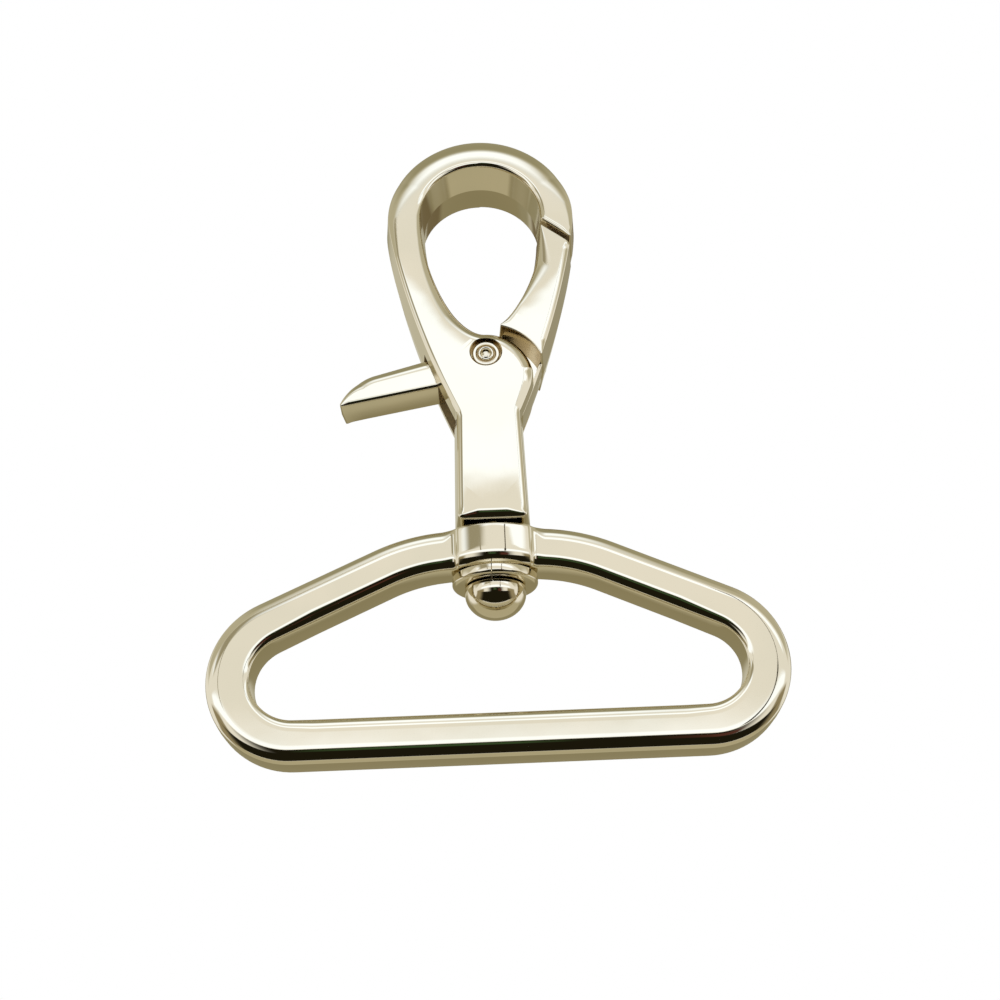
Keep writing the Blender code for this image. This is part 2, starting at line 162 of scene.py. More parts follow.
def outline(legs, corners):
    """A closed outline from its legs; each corner is the length cut off both legs for a round joint."""
    closed = []
    count = len(legs)
    cut = [trimmed(legs[i], corners[i - 1], corners[i]) for i in range(count)]
    for index, stretch in enumerate(cut):
        following = cut[(index + 1) % count]
        closed.append(stretch if corners[index] else stretch[:-1])
        if corners[index]:
            point = legs[index][-1, :2]
            t = np.linspace(0, 1, CORNER_STEPS + 2)[1:-1, None]
            curve = stretch[-1, :2] * (1 - t)**2 + point * 2 * t * (1 - t) + following[0, :2] * t**2
            rest = stretch[-1, 2:] * (1 - t) + following[0, 2:] * t
            closed.append(np.hstack([curve, rest]))
    points = np.vstack(closed)
    x, z = points[:, 0], points[:, 1]
    if np.sum(x * np.roll(z, -1) - np.roll(x, -1) * z) > 0:
        points = points[::-1]
    return fitted_edges(points)


def fitted_edges(points):
    """Narrows the rounded edge where an outline turns too tightly for it."""
    ahead = np.roll(points[:, :2], -1, axis=0) - points[:, :2]
    step = np.linalg.norm(ahead, axis=1)
    behind = np.roll(ahead, 1, axis=0)
    cross = behind[:, 1] * ahead[:, 0] - behind[:, 0] * ahead[:, 1]
    turn = np.arctan2(cross, np.sum(ahead * behind, axis=1))
    radius = (step + np.roll(step, 1)) / 2 / np.maximum(turn, LEAST_TURN)
    limit = TIGHT_SHARE * radius
    for index in list(range(len(points))) * 2:
        limit[index] = min(limit[index], limit[index - 1] + TAPER * step[index - 1])
    for index in list(range(len(points) - 1, -1, -1)) * 2:
        following = (index + 1) % len(points)
        limit[index] = min(limit[index], limit[following] + TAPER * step[index])
    share = np.minimum(1, limit / np.maximum(points[:, 2], SLIVER))
    points[:, 2:4] *= share[:, None]
    return points


def edge_rings(path, half_depth):
    """Rings of points round a plate's edge, from its back face over the wall to its front face."""
    along = np.roll(path[:, :2], -1, axis=0) - np.roll(path[:, :2], 1, axis=0)
    inward = np.column_stack([along[:, 1], -along[:, 0]]) / np.linalg.norm(along, axis=1)[:, None]
    edge, draft = path[:, 2:3], path[:, 4:5]
    turns = np.linspace(0, QUARTER, EDGE_STEPS + 1)
    rings = []
    for side, angles in ((1, turns[::-1]), (0, [0]), (-1, turns)):
        for angle in angles:
            inset = edge * (1 - math.cos(angle)) if side else -draft
            place = path[:, :2] + inward * inset
            depth = half_depth(place[:, 0], place[:, 1]) - path[:, 3] * (1 - math.sin(angle))
            rings.append(np.column_stack([place[:, 0], side * depth, place[:, 1]]))
    return rings


def strips(shape, rows):
    """Adds a strip of faces between each two closed rows of a mesh's points."""
    for lower, upper in zip(rows, rows[1:]):
        for i in range(len(lower)):
            j = (i + 1) % len(lower)
            shape.faces.new((lower[i], lower[j], upper[j], upper[i]))


def ring_faces(shape, rings):
    """Adds rings of points to a mesh, with a strip of faces between each two."""
    made = [[shape.verts.new(place) for place in ring] for ring in rings]
    strips(shape, made)
    return made


def new_piece(name, shape):
    """An object from a mesh in the making, with its doubles merged and its faces turned outwards."""
    bmesh.ops.remove_doubles(shape, verts=shape.verts, dist=WELD)
    bmesh.ops.recalc_face_normals(shape, faces=shape.faces)
    mesh = bpy.data.meshes.new(name)
    shape.to_mesh(mesh)
    shape.free()
    piece = bpy.data.objects.new(name, mesh)
    bpy.context.scene.collection.objects.link(piece)
    return piece


def plate(name, path, half_depth):
    """A flat casting in the XZ plane with rounded edges; half_depth is a length or a function of x and z."""
    shape = bmesh.new()
    depth = half_depth if callable(half_depth) else lambda x, z: np.full(len(x), half_depth)
    made = ring_faces(shape, edge_rings(path, depth))
    for ring in (made[0], made[-1]):
        corners = [Vector((vert.co.x, vert.co.z)) / MM for vert in ring]
        sides = [(i, (i + 1) % len(ring)) for i in range(len(ring))]
        faces, origins = delaunay_2d_cdt(corners, sides, [], FILL_INSIDE, FILL_REACH)[2:4]
        for face in faces:
            shape.faces.new([ring[origins[index][0]] for index in face])
    return new_piece(name, shape)


def turned(name, profile, axis=(0, 0, 1), place=(0, 0, 0), sides=96, ring=False):
    """A turned solid; the profile holds (radius, height along the axis), and a ring's is closed."""
    shape = bmesh.new()
    angle = np.linspace(0, 2 * math.pi, sides, endpoint=False)
    stations = list(profile) + ([profile[0]] if ring else [])
    rings = [np.column_stack([r * np.cos(angle), r * np.sin(angle), np.full(sides, h)]) for r, h in stations]
    ring_faces(shape, rings)
    bmesh.ops.remove_doubles(shape, verts=shape.verts, dist=WELD)
    flat = [face for face in shape.faces if face.calc_area() < TINY_AREA]
    bmesh.ops.delete(shape, geom=flat, context="FACES")
    turn = Vector((0, 0, 1)).rotation_difference(Vector(axis)).to_matrix().to_4x4()
    bmesh.ops.transform(shape, matrix=Matrix.Translation(place) @ turn, verts=shape.verts)
    return new_piece(name, shape)


def prism(name, corners, half_depth):
    """A straight-sided block from an outline in the XZ plane."""
    shape = bmesh.new()
    made = ring_faces(shape, [[(x, y, z) for x, z in corners] for y in (half_depth, -half_depth)])
    shape.faces.new(made[0])
    shape.faces.new(made[1])
    return new_piece(name, shape)


def rounding(radius, height, wide, high, turns):
    """A rounded corner of a turned profile, inside the sharp corner at a radius and a height."""
    return [(radius - wide * (1 - math.cos(t)), height - high * (1 - math.sin(t))) for t in turns]


def rod(radius, low, high):
    """The profile of a plain rod, for boring holes."""
    return [(0, low), (radius, low), (radius, high), (0, high)]


# Faces that a cut or a mark leaves dull are also painted with shade: brown and less metallic, fully from the
# seat's value up.
DULL_SHADE_MARK = "dull_shade_mark"
AS_CAST_SHADED = 1.0
SEAT_DULL_SHADED = 0.6


def dulled_and_shaded(piece, value, chosen):
    """Marks how dull faces are, and so how much painted shade they get; chosen tells by a face's middle in
    the XZ plane.
    """
    middles = np.array([(face.center.x, face.center.z) for face in piece.data.polygons])
    marks = piece.data.attributes.new(DULL_SHADE_MARK, "FLOAT", "FACE")
    marks.data.foreach_set("value", np.where(chosen(middles), value, 0.0))


def combine(piece, other, operation, dull_and_shade=0.0):
    """Cuts another solid from a piece, or joins it on; the last value marks how dull the faces are that the
    other solid leaves, and so how much painted shade they get.
    """
    for solid, mark in ((piece, 0.0), (other, dull_and_shade)):
        solid.data.transform(Matrix.Scale(1 / MM, 4))
        if DULL_SHADE_MARK not in solid.data.attributes:
            marks = solid.data.attributes.new(DULL_SHADE_MARK, "FLOAT", "FACE")
            marks.data.foreach_set("value", [mark] * len(solid.data.polygons))
    step = piece.modifiers.new(operation.lower(), "BOOLEAN")
    step.operation = operation
    step.solver = "EXACT"
    step.object = other
    bake(piece)
    piece.data.transform(Matrix.Scale(MM, 4))
    bpy.data.objects.remove(other, do_unlink=True)


def bake(piece):
    """Turns a piece with modifiers into a plain mesh."""
    bpy.context.view_layer.update()
    graph = bpy.context.evaluated_depsgraph_get()
    mesh = bpy.data.meshes.new_from_object(piece.evaluated_get(graph), depsgraph=graph)
    piece.modifiers.clear()
    piece.data = mesh


STRONG = 16384
FLAT = 0.9999


def polished(piece, material, crease=math.radians(26), seam=math.radians(4)):
    """Marks creases and the mould's seam, evens the normals out by face area and sets the material."""
    shape = bmesh.new()
    shape.from_mesh(piece.data)
    bmesh.ops.dissolve_degenerate(shape, edges=shape.edges, dist=2 * WELD)
    for face in shape.faces:
        face.smooth = True
    for edge in shape.edges:
        on_seam = all(abs(vert.co.y) < WELD for vert in edge.verts)
        limit = seam if on_seam else crease
        edge.smooth = len(edge.link_faces) == 2 and edge.calc_face_angle(math.pi) < limit
    rank = shape.faces.layers.int.new("__mod_weightednormals_faceweight")
    for face in shape.faces:
        face[rank] = STRONG if abs(face.normal.y) > FLAT else 0
    shape.to_mesh(piece.data)
    shape.free()
    even = piece.modifiers.new("even_normals", "WEIGHTED_NORMAL")
    even.mode = "FACE_AREA"
    even.keep_sharp = True
    even.use_face_influence = True
    bake(piece)
    piece.data.materials.clear()
    piece.data.materials.append(material)


def new_group(name, inputs, outputs):
    """An empty shader node group with named sockets."""
    group = bpy.data.node_groups.new(name, "ShaderNodeTree")
    for label, kind, value in inputs:
        socket = group.interface.new_socket(label, in_out="INPUT", socket_type=kind)
        socket.default_value = value
    for label, kind in outputs:
        group.interface.new_socket(label, in_out="OUTPUT", socket_type=kind)
    return group


def add_node(tree, kind, links=(), **values):
    """A node with its properties, input values and incoming links; a link is (input, socket)."""
    node = tree.nodes.new(kind)
    for key, value in values.items():
        if key in node.bl_rna.properties:
            setattr(node, key, value)
        else:
            node.inputs[key.replace("_", " ")].default_value = value
    for place, socket in links:
        tree.links.new(socket, node.inputs[place])
    return node


def maths(tree, operation, *terms):
    """The result of a maths node; its terms are sockets or plain numbers."""
    node = add_node(tree, "ShaderNodeMath", operation=operation)
    for place, term in zip(node.inputs, terms):
        if isinstance(term, float):
            place.default_value = term
        else:
            tree.links.new(term, place)
    return node.outputs[0]


def blend(tree, share, first, second):
    """The result of mixing two colours; the second is a socket or a plain colour."""
    node = add_node(tree, "ShaderNodeMix", data_type="RGBA")
    tree.links.new(share, node.inputs["Factor"])
    tree.links.new(first, node.inputs["A"])
    if isinstance(second, tuple):
        node.inputs["B"].default_value = second
    else:
        tree.links.new(second, node.inputs["B"])
    return node.outputs["Result"]


PINHOLE_BROWN = (0.10, 0.07, 0.04, 1)
PINHOLE_RARITY = 0.975
PINHOLE_ROUGHNESS = 0.4
PAINTED_SHADE_BROWN = (0.44, 0.33, 0.165, 1)
PAINTED_SHADE_METAL = 0.45
RECESS_ROUGHNESS = 0.22


def make_plating_group():
    """Polished plating: soft swells left by the buffing wheel, hairlines, drifts of tone and pinholes; faces
    marked dull are rougher and get painted shade, brown and less metallic.
    """
    group = new_group(
        "polished_plating",
        [("Colour", "NodeSocketColor", (0.77, 0.705, 0.55, 1)),
         ("Drift", "NodeSocketColor", (0.735, 0.68, 0.53, 1)),
         ("Smoothness", "NodeSocketFloat", 0.035),
         ("Hairlines", "NodeSocketFloat", 0.03),
         ("Swell", "NodeSocketFloat", 0.000010),
         ("Pinholes", "NodeSocketFloat", 0.5)],
        [("Colour", "NodeSocketColor"), ("Metal", "NodeSocketFloat"), ("Roughness", "NodeSocketFloat"),
         ("Normal", "NodeSocketVector")])
    given = group.nodes.new("NodeGroupInput")
    result = group.nodes.new("NodeGroupOutput")
    place = group.nodes.new("ShaderNodeTexCoord").outputs["Object"]

    clouds = add_node(group, "ShaderNodeTexNoise", [("Vector", place)], Scale=140.0, Detail=2.0)
    tone = add_node(group, "ShaderNodeMapRange", [("Value", clouds.outputs["Fac"])],
                    interpolation_type="SMOOTHSTEP", From_Min=0.38, From_Max=0.66)
    drifting = blend(group, tone.outputs["Result"], given.outputs["Colour"], given.outputs["Drift"])

    cells = add_node(group, "ShaderNodeTexVoronoi", [("Vector", place)], Scale=420.0)
    rare = add_node(group, "ShaderNodeSeparateColor", [("Color", cells.outputs["Color"])])
    chosen = maths(group, "GREATER_THAN", rare.outputs["Red"], PINHOLE_RARITY)
    hole = add_node(group, "ShaderNodeMapRange", [("Value", cells.outputs["Distance"])],
                    interpolation_type="SMOOTHSTEP", From_Min=0.02, From_Max=0.05, To_Min=1.0, To_Max=0.0)
    pinhole = maths(group, "MULTIPLY", chosen, hole.outputs["Result"])
    strength = maths(group, "MULTIPLY", pinhole, given.outputs["Pinholes"])
    pitted = blend(group, strength, drifting, PINHOLE_BROWN)

    # Painted shade: marked faces in slots, bores, gaps and grooves turn brown and less metallic, and rougher
    # too.
    dull_shade_mark = add_node(group, "ShaderNodeAttribute", attribute_name=DULL_SHADE_MARK).outputs["Fac"]
    painted_shade = add_node(group, "ShaderNodeMapRange", [("Value", dull_shade_mark)], From_Max=SEAT_DULL_SHADED)
    shaded_colour = blend(group, painted_shade.outputs["Result"], pitted, PAINTED_SHADE_BROWN)
    group.links.new(shaded_colour, result.inputs["Colour"])
    metal = add_node(group, "ShaderNodeMapRange", [("Value", dull_shade_mark)], From_Min=SEAT_DULL_SHADED, To_Min=1.0,
                     To_Max=PAINTED_SHADE_METAL)
    group.links.new(metal.outputs["Result"], result.inputs["Metal"])

    stretched = add_node(group, "ShaderNodeMapping", [("Vector", place)], Scale=(9.0, 1.0, 1.6),
                         Rotation=(0.0, 0.5, 0.3))
    lines = add_node(group, "ShaderNodeTexNoise", [("Vector", stretched.outputs["Vector"])], Scale=900.0,
                     Detail=3.0)
    fine = add_node(group, "ShaderNodeMapRange", [("Value", lines.outputs["Fac"])], From_Min=0.52,
                    From_Max=0.78)
    scuffed = maths(group, "MULTIPLY_ADD", fine.outputs["Result"], given.outputs["Hairlines"],
                    given.outputs["Smoothness"])
    rough = maths(group, "MULTIPLY_ADD", strength, PINHOLE_ROUGHNESS, scuffed)
    unpolished = maths(group, "MULTIPLY_ADD", dull_shade_mark, RECESS_ROUGHNESS, rough)
    group.links.new(unpolished, result.inputs["Roughness"])

    waves = add_node(group, "ShaderNodeTexNoise", [("Vector", place)], Scale=260.0, Detail=1.5)
    bump = add_node(group, "ShaderNodeBump",
                    [("Height", waves.outputs["Fac"]), ("Distance", given.outputs["Swell"])], Strength=1.0)
    group.links.new(bump.outputs["Normal"], result.inputs["Normal"])
    return group


plating = make_plating_group()


def plated(name, **values):
    """A plated metal from the shared group, with this piece's own values."""
    material = bpy.data.materials.new(name)
    material.use_nodes = True
    tree = material.node_tree
    shader = tree.nodes["Principled BSDF"]
    finish = tree.nodes.new("ShaderNodeGroup")
    finish.node_tree = plating
    for label, value in values.items():
        finish.inputs[label].default_value = value
    for output, place in zip(finish.outputs, ("Base Color", "Metallic", "Roughness", "Normal")):
        tree.links.new(output, shader.inputs[place])
    return material


def eye_right():
    """The eye's edge on +X, from its top down to its floor."""
    top, side, floor = (0, EYE_TOP), (EYE_HALF, EYE_MIDDLE), (0, EYE_FLOOR)
    pull, fall = QUARTER_PULL * EYE_HALF, EYE_MIDDLE - EYE_FLOOR
    upper = bezier(top, (pull, 0), (0, pull), side, count=60)
    lower = bezier(side, (0, -EYE_SIDE_PULL * fall), (EYE_FLOOR_PULL * EYE_HALF, 0), floor, count=70)
    return np.vstack([upper[:-1], lower])


def flank_right():
    """The hook's outer edge on +X, from the crown down to the waist."""
    top, side, waist = (0, CROWN - WALL_DRAFT), (FLANK_HALF, EYE_MIDDLE), (WAIST_HALF, WAIST)
    rise, fall = CROWN - WALL_DRAFT - EYE_MIDDLE, EYE_MIDDLE - WAIST
    upper = bezier(top, (QUARTER_PULL * FLANK_HALF, 0), (0, QUARTER_PULL * rise), side, count=70)
    waist_pull = (WAIST_PULLS[0] * (FLANK_HALF - WAIST_HALF), WAIST_PULLS[1] * fall)
    return np.vstack([upper[:-1], bezier(side, (0, -FLANK_SIDE_PULL * fall), waist_pull, waist, count=120)])


def cheek_right():
    """The cheeks' round edge beside the gate, from the eye's floor down to the flank's line."""
    side = flank[flank[:, 1] < CHEEK_SIDE][0]
    pull = QUARTER_PULL * np.array([side[0], EYE_FLOOR - side[1]])
    return bezier((0, EYE_FLOOR), (pull[0], 0), (0, pull[1]), side, count=50)


def above_nose_line(points):
    """How far points lie above the slanted line between nose and gate."""
    return ((points[:, 0] - NOSE_MIDDLE.x) * math.sin(NOSE_SLOPE)
            + (points[:, 1] - NOSE_MIDDLE.y) * math.cos(NOSE_SLOPE))


eye, flank = eye_right(), flank_right()
cheek = cheek_right()
cheek_flank = np.vstack([cheek[-1:], flank[flank[:, 1] < CHEEK_SIDE][1:]])
nose_inside = clipped(eye, above_nose_line(eye) - NOSE_GAP / 2)[::-1]
nose_outside = clipped(flank, above_nose_line(flank) - NOSE_GAP / 2)
eye_left = mirrored(eye)[1:]
flank_left = mirrored(flank)[::-1]
EYE_EDGE_HEIGHTS = [EYE_FLOOR, EYE_FLOOR + 2 * MM, EYE_FLOOR + 5 * MM, EYE_MIDDLE - 2 * MM, EYE_MIDDLE]
EYE_EDGES = np.array([1.1, 1.2, 0.9, 0.55, 0.5]) * MM
EYE_ROLLS = [0.9, 0.85, 0.75, 0.65, 0.6]
FLANK_EDGE_HEIGHTS = [EYE_MIDDLE - 4 * MM, EYE_MIDDLE, EYE_MIDDLE + 4 * MM, CROWN]
FLANK_EDGES = np.array([0.45, 1.0, 2.2, 2.6]) * MM
NOSE_EDGE_HEIGHTS = [EYE_MIDDLE - 1.5 * MM, EYE_MIDDLE + 1 * MM, EYE_MIDDLE + 4 * MM, CROWN]
NOSE_EDGES = np.array([0.3, 0.8, 2.1, 2.6]) * MM
CROWN_ROLL = 0.5
SHANK_EDGE = 0.55 * MM
CHEEK_EDGE_HEIGHTS = [WAIST, CHEEK_SIDE, EYE_FLOOR - MM, EYE_FLOOR]
CHEEK_EDGES = np.array([0.6, 0.95, 1.15, 1.1]) * MM
FOOT_EDGE = 0.9 * MM
FOOT_EDGE_FADE = 2.5
FOOT_ROLL = 0.6
NOSE_CUT_EDGE = 0.45 * MM
HOOK_CORNERS = np.array([0, 0.8, 0.6, 0.6, 0.35, 0.3]) * MM
foot_right, foot_left = (FOOT_HALF, FOOT), (-FOOT_HALF, FOOT)
foot_line = straight(foot_right, foot_left, count=40)
foot_share = np.clip(FOOT_EDGE_FADE - FOOT_EDGE_FADE * np.abs(foot_line[:, 0]) / FOOT_HALF, 0, 1)
foot_edges = SHANK_EDGE + (FOOT_EDGE - SHANK_EDGE) * foot_share
eye_rest = np.vstack([nose_inside[-1:], eye_left])
hook_legs = [
    np.vstack([
        leg(nose_inside[:-1], EYE_EDGES[-1], draft=EYE_DRAFT),
        leg(eye_rest, np.interp(eye_rest[:, 1], EYE_EDGE_HEIGHTS, EYE_EDGES),
            np.interp(eye_rest[:, 1], EYE_EDGE_HEIGHTS, EYE_ROLLS), EYE_DRAFT)]),
    leg(cheek, np.interp(cheek[:, 1], CHEEK_EDGE_HEIGHTS, CHEEK_EDGES), EYE_ROLLS[0],
        np.interp(cheek[:, 1], [CHEEK_SIDE, EYE_FLOOR], [WALL_DRAFT, EYE_DRAFT])),
    np.vstack([
        leg(cheek_flank[:-1], np.interp(cheek_flank[:-1, 1], CHEEK_EDGE_HEIGHTS, CHEEK_EDGES), EYE_ROLLS[0],
            WALL_DRAFT),
        leg(straight(cheek_flank[-1], foot_right, count=30), SHANK_EDGE, draft=WALL_DRAFT)]),
    leg(foot_line, foot_edges, FOOT_ROLL),
    np.vstack([
        leg(straight(foot_left, flank_left[0], count=30)[:-1], SHANK_EDGE, draft=WALL_DRAFT),
        leg(flank_left[:-1], np.interp(flank_left[:-1, 1], FLANK_EDGE_HEIGHTS, FLANK_EDGES),
            np.interp(flank_left[:-1, 1], FLANK_EDGE_HEIGHTS[:2], [EDGE_ROLL, CROWN_ROLL]), WALL_DRAFT),
        leg(nose_outside, np.interp(nose_outside[:, 1], NOSE_EDGE_HEIGHTS, NOSE_EDGES),
            np.interp(nose_outside[:, 1], NOSE_EDGE_HEIGHTS[:2], [EDGE_ROLL, CROWN_ROLL]), WALL_DRAFT)]),
    leg(straight(nose_outside[-1], nose_inside[0], count=12), NOSE_CUT_EDGE)]
hook = plate("hook_casting", outline(hook_legs, HOOK_CORNERS), HOOK_HALF_DEPTH)
NOSE_DULL_SHADED = 0.85
CUT_REACH = 0.02 * MM


def on_nose_end(spots):
    """Tells which places lie on the nose's slanted end."""
    return (spots[:, 0] > 0) & (abs(above_nose_line(spots) - NOSE_GAP / 2) < CUT_REACH)


# The nose's slanted end is marked dull, which paints shade on it.
dulled_and_shaded(hook, NOSE_DULL_SHADED, on_nose_end)

OUTSIDE = 25 * MM
PAST = 1 * MM
pivot_point = np.array([0, PIVOT])
slope_up = np.array([-math.sin(TRIGGER_SLOPE), math.cos(TRIGGER_SLOPE)])
slope_along = np.array([-math.cos(TRIGGER_SLOPE), -math.sin(TRIGGER_SLOPE)])
slot_roof = pivot_point + slope_up * (HUB_RADIUS + SLOT_ROOF_GAP)
slot_far = slot_roof + slope_along * OUTSIDE
slot_mouth = EYE_FLOOR + 2 * EYE_DRAFT
slot_corners = [slot_roof, (slot_roof[0], slot_mouth), (OUTSIDE, slot_mouth), (OUTSIDE, SLOT_FLOOR),
                (slot_far[0], SLOT_FLOOR), slot_far]
# The faces left by these cuts are dull and painted with shade.
combine(hook, prism("lever_slot", slot_corners, SLOT_HALF), "DIFFERENCE", AS_CAST_SHADED)

RECESS_LIP = 0.08 * MM
recess_floor = HOOK_HALF_DEPTH - RECESS_DEPTH
lip = rounding(RECESS_RADIUS, HOOK_HALF_DEPTH, -RECESS_LIP, RECESS_LIP, (0, QUARTER))
half_spool = [(RIVET_BORE, recess_floor), (RECESS_RADIUS, recess_floor)] + lip
half_spool += [(RECESS_RADIUS + RECESS_LIP, HOOK_HALF_DEPTH + PAST), (0, HOOK_HALF_DEPTH + PAST)]
spool = [(r, -h) for r, h in reversed(half_spool)] + half_spool
combine(hook, turned("rivet_seat", spool, (0, 1, 0), (0, 0, PIVOT)), "DIFFERENCE", SEAT_DULL_SHADED)
combine(hook, turned("post_hole", rod(POST_BORE, FOOT - PAST, POST_BORE_TOP)), "DIFFERENCE", AS_CAST_SHADED)
spring_axis = (SPRING_TOP - SPRING_FOOT).normalized()
pocket = turned("spring_pocket", rod(SPRING_POCKET, 0, POCKET_DEPTH), spring_axis, SPRING_FOOT)
combine(hook, pocket, "DIFFERENCE", AS_CAST_SHADED)
polished(hook, plated("hook_plating"))
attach(hook, "hook")
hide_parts("hook_body")

# Gate lever: the gate, its hub and its trigger in one zinc die casting with the hook's plating. The gate
# is as deep as the hook, and the hub and trigger are thin enough for the slot. It turns on the rivet.
lever_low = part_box("gate_lever")[0]
LEVER_HALF_DEPTH = 1.65 * MM
HEEL_CENTRE = np.array([0, PIVOT - 2.35 * MM])
HEEL_RADIUS = 4.92 * MM
HUB_END = math.radians(50)
TRIGGER_LENGTH = 9.2 * MM
TRIGGER_TIP = np.array([lever_low.x, PIVOT - 3.85 * MM])
ROOT_HEIGHT = PIVOT - 1.9 * MM
TAIL_FOOT = lever_low.z
TAIL_INSET = 0.03 * MM
LEVER_BORE = 0.9 * MM


def arc(centre, radius, first, last, count):
    """Points of an arc; the angles are in radians from +X towards +Z."""
    angle = np.linspace(first, last, count)
    return np.column_stack([centre[0] + radius * np.cos(angle), centre[1] + radius * np.sin(angle)])


gate_inside = clipped(eye, -above_nose_line(eye) - NOSE_GAP / 2)
gate_inside = clipped(gate_inside, np.linalg.norm(gate_inside - HEEL_CENTRE, axis=1) - HEEL_RADIUS)
gate_outside = clipped(flank, -above_nose_line(flank) - NOSE_GAP / 2)
gate_outside = clipped(gate_outside, np.linalg.norm(gate_outside - HEEL_CENTRE, axis=1) - HEEL_RADIUS)[::-1]
heel_turn = [math.atan2(*(end - HEEL_CENTRE)[::-1]) for end in (gate_inside[-1], gate_outside[0])]
GATE_EDGE_HEIGHTS = [PIVOT + height * MM for height in (4.5, 6.5, 8.5, 10.5, 12.5)]
GATE_EDGES = np.array([0.4, 0.9, 1.6, 2.0, 2.1]) * MM
GATE_OUTER_EDGE = 0.6 * MM
GATE_END_EDGE = 0.13 * MM
GATE_ROLL = 0.45
GATE_CORNERS = np.array([0.4, 0.3, 0.35, 0.3]) * MM
gate_legs = [
    leg(gate_inside, np.interp(gate_inside[:, 1], GATE_EDGE_HEIGHTS, GATE_EDGES), GATE_ROLL, EYE_DRAFT),
    leg(arc(HEEL_CENTRE, HEEL_RADIUS, *heel_turn, count=29), GATE_END_EDGE),
    leg(gate_outside, GATE_OUTER_EDGE, draft=WALL_DRAFT),
    leg(straight(gate_outside[-1], gate_inside[0], count=12), GATE_END_EDGE)]
lever = plate("gate_lever_casting", outline(gate_legs, GATE_CORNERS), HOOK_HALF_DEPTH)
HEEL_DULL_SHADED = 0.6


def on_gate_ends(spots):
    """Tells which places lie on the gate's round heel or on its slanted top."""
    on_heel = abs(np.linalg.norm(spots - HEEL_CENTRE, axis=1) - HEEL_RADIUS) < CUT_REACH
    return on_heel | (abs(above_nose_line(spots) + NOSE_GAP / 2) < CUT_REACH)


# The gate's round heel and slanted top are marked dull, which paints shade on them.
dulled_and_shaded(lever, HEEL_DULL_SHADED, on_gate_ends)

TRIGGER_EDGE_REACH = np.array([-12.3, -11.8, -10.8, -5.0, -3.2]) * MM
TRIGGER_EDGES = np.array([0.12, 0.4, 0.95, 1.15, 0.15]) * MM
UNDER_EDGE = 0.34 * MM
TAIL_EDGE = 0.3 * MM
HIDDEN_EDGE = 0.08 * MM
FLARE_START = np.array([-4.1 * MM, PIVOT - 2.3 * MM])
FLARE_END = np.array([-3.2 * MM, ROOT_HEIGHT])
FLARE_START_PULL = 0.05
FLARE_END_PULL = 0.35 * MM
NECK = [(2.6 * MM, PIVOT + 3.2 * MM), (1.4 * MM, PIVOT + 2.4 * MM)]
TONGUE_CORNERS = np.array([0, 0.4, 0, 0.2, 0.2, 0.3, 0.2, 0.2]) * MM
top_start = pivot_point + slope_up * HUB_RADIUS
shoulder = top_start + slope_along * TRIGGER_LENGTH
curl = np.linalg.norm(shoulder - TRIGGER_TIP) / 3
trigger_top = np.vstack([straight(top_start, shoulder, count=60)[:-1],
                         bezier(shoulder, slope_along * curl, (curl / 3, curl), TRIGGER_TIP, count=24)])
under_slope = (FLARE_START - TRIGGER_TIP) * FLARE_START_PULL
trigger_under = np.vstack([straight(TRIGGER_TIP, FLARE_START, count=40)[:-1],
                           bezier(FLARE_START, under_slope, (-FLARE_END_PULL, 0), FLARE_END, count=16)])
tail_side = flank[(flank[:, 1] > TAIL_FOOT) & (flank[:, 1] < PIVOT + MM)][::-1]
tail_side = tail_side + np.array([WALL_DRAFT / 2 - TAIL_INSET, 0])
seat = (-HUB_RADIUS / 2, ROOT_HEIGHT)
tail_inner = (tail_side[0, 0] / 2, TAIL_FOOT)
hub = arc(pivot_point, HUB_RADIUS, HUB_END, QUARTER + TRIGGER_SLOPE, count=16)
lever_legs = [
    leg(hub, HIDDEN_EDGE),
    leg(trigger_top, np.interp(trigger_top[:, 0], TRIGGER_EDGE_REACH, TRIGGER_EDGES)),
    leg(trigger_under, UNDER_EDGE),
    leg(np.array([FLARE_END, seat]), UNDER_EDGE),
    leg(straight(seat, tail_inner, count=12), HIDDEN_EDGE),
    leg(straight(tail_inner, tail_side[0], count=8), HIDDEN_EDGE),
    leg(tail_side, TAIL_EDGE),
    leg(np.vstack([tail_side[-1:], NECK, hub[:1]]), HIDDEN_EDGE)]
tongue = plate("lever_tongue", outline(lever_legs, TONGUE_CORNERS), LEVER_HALF_DEPTH)
TIP_REACH = 2.0 * MM
TIP_ROUND = 0.22 * MM
for vert in tongue.data.vertices:
    near = max(0.0, 1 - (vert.co.x - TRIGGER_TIP[0]) / TIP_REACH)
    vert.co.x += TIP_ROUND * near * max(0.0, vert.co.y / LEVER_HALF_DEPTH)**3
combine(lever, tongue, "UNION")

# The skirt carries the gate's outer side down behind the cheeks' round edge, into the tail.
SKIRT_LOW, SKIRT_HIGH = PIVOT - 1.5 * MM, PIVOT + 1.6 * MM
SKIRT_INNER_LOW, SKIRT_INNER_HIGH = 4.1 * MM, 4.38 * MM
SKIRT_EDGE = 0.04 * MM
SKIRT_INSET = 0.1 * MM
SKIRT_SINK = 0.3 * MM
SKIRT_FRONT_GAP = 0.05 * MM
SKIRT_CORNERS = np.array([0.05, 0.05, 0.1, 0.1]) * MM


def skirt_depth(x, z):
    """Half the skirt's depth, from just inside the tongue at its foot to nearly the gate's at its top."""
    share = np.clip((z - SKIRT_LOW) / (SKIRT_HIGH - SKIRT_LOW), 0, 1)
    foot_depth = LEVER_HALF_DEPTH - SKIRT_SINK
    return foot_depth + (HOOK_HALF_DEPTH - SKIRT_INSET - foot_depth) * share


